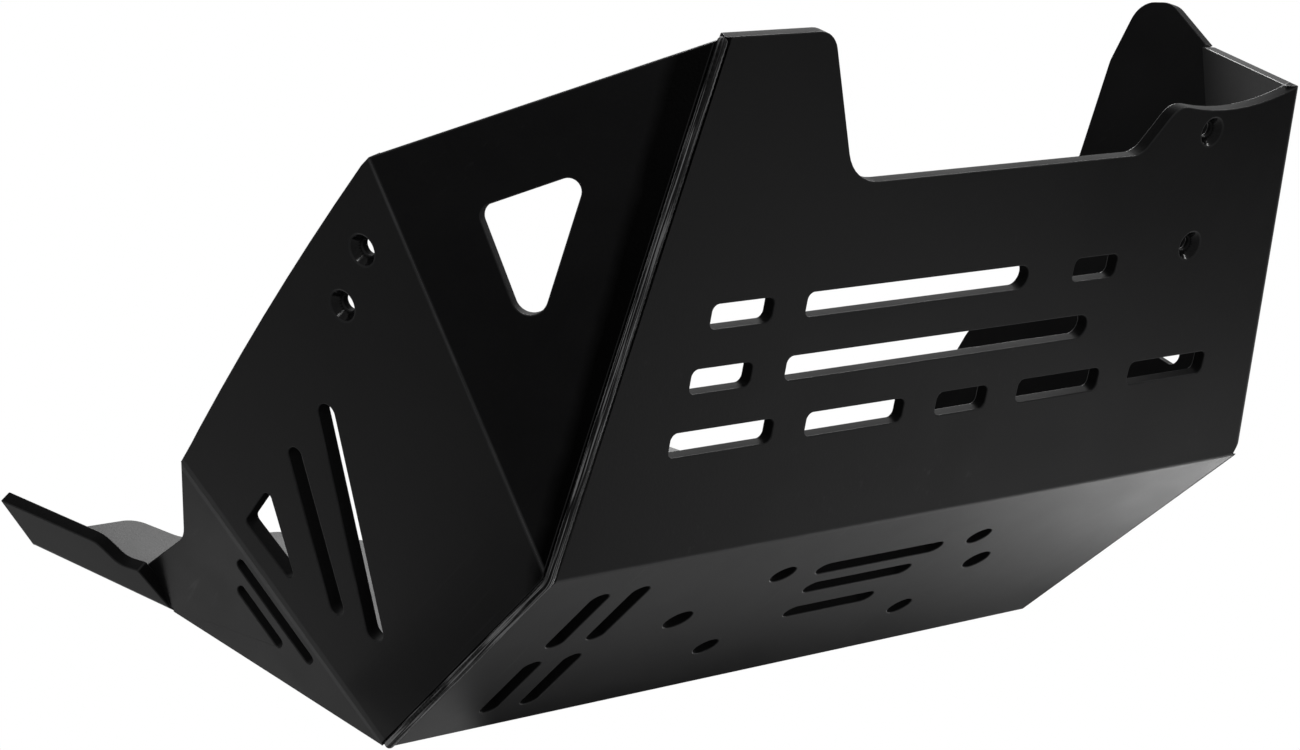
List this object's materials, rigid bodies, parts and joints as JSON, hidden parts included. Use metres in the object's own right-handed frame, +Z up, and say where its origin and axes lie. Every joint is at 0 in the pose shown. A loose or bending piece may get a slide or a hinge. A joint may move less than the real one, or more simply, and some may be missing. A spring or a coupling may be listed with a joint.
{
  "type": "motorcycle skid plate",
  "caption": "Folded plastic skid plate that guards a motorcycle's engine from below: an open tray with a sloped front, raised side walls, cooling slots, windows and bolt holes.",
  "frame": {"origin": "middle of the four-hole pattern, on the underside of the bottom panel", "axes": "+X towards the front wheel, +Y to the rider's left, +Z up"},
  "size_m": [0.4241, 0.5126, 0.2187],
  "materials": {
    "sheet": "satin, fine grain",
    "weld": "satin, softly rippled"
  },
  "bodies": {
    "root": {"tray": "sheet", "side_sheet": "sheet", "seam_right": "weld", "seam_left_front": "weld", "seam_left_rear": "weld"}
  },
  "joints": []
}
